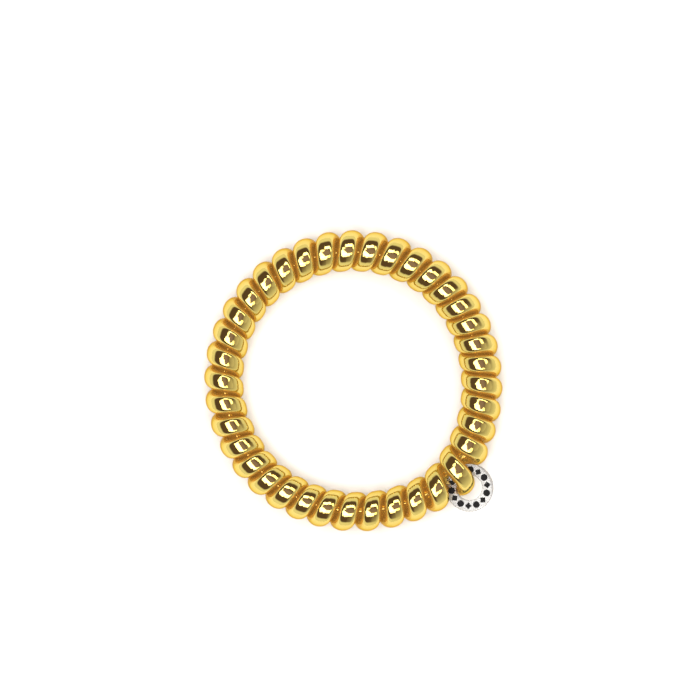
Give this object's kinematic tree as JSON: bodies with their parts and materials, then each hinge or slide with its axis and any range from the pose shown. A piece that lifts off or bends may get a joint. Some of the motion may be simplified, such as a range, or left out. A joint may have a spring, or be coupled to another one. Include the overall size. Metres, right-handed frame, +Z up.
{
  "type": "spiral hair tie",
  "caption": "Closed ring of springy cord wound into touching spiral turns, with a small flat ring hanging on one turn; it lies on its side.",
  "frame": {"origin": "on the ring's axis, at the level of the floor that the ring lies on", "axes": "+Z up, along the ring's axis; +X to the right and +Y away as seen from above, with the small flat ring towards +X and -Y"},
  "size_m": [0.0448, 0.0451, 0.0064],
  "materials": {
    "gold_cord": "metallised, mirror gloss",
    "clear_tag": "translucent, satin"
  },
  "bodies": {
    "root": {"coil": "gold_cord", "tag_ring": "clear_tag"}
  },
  "joints": []
}
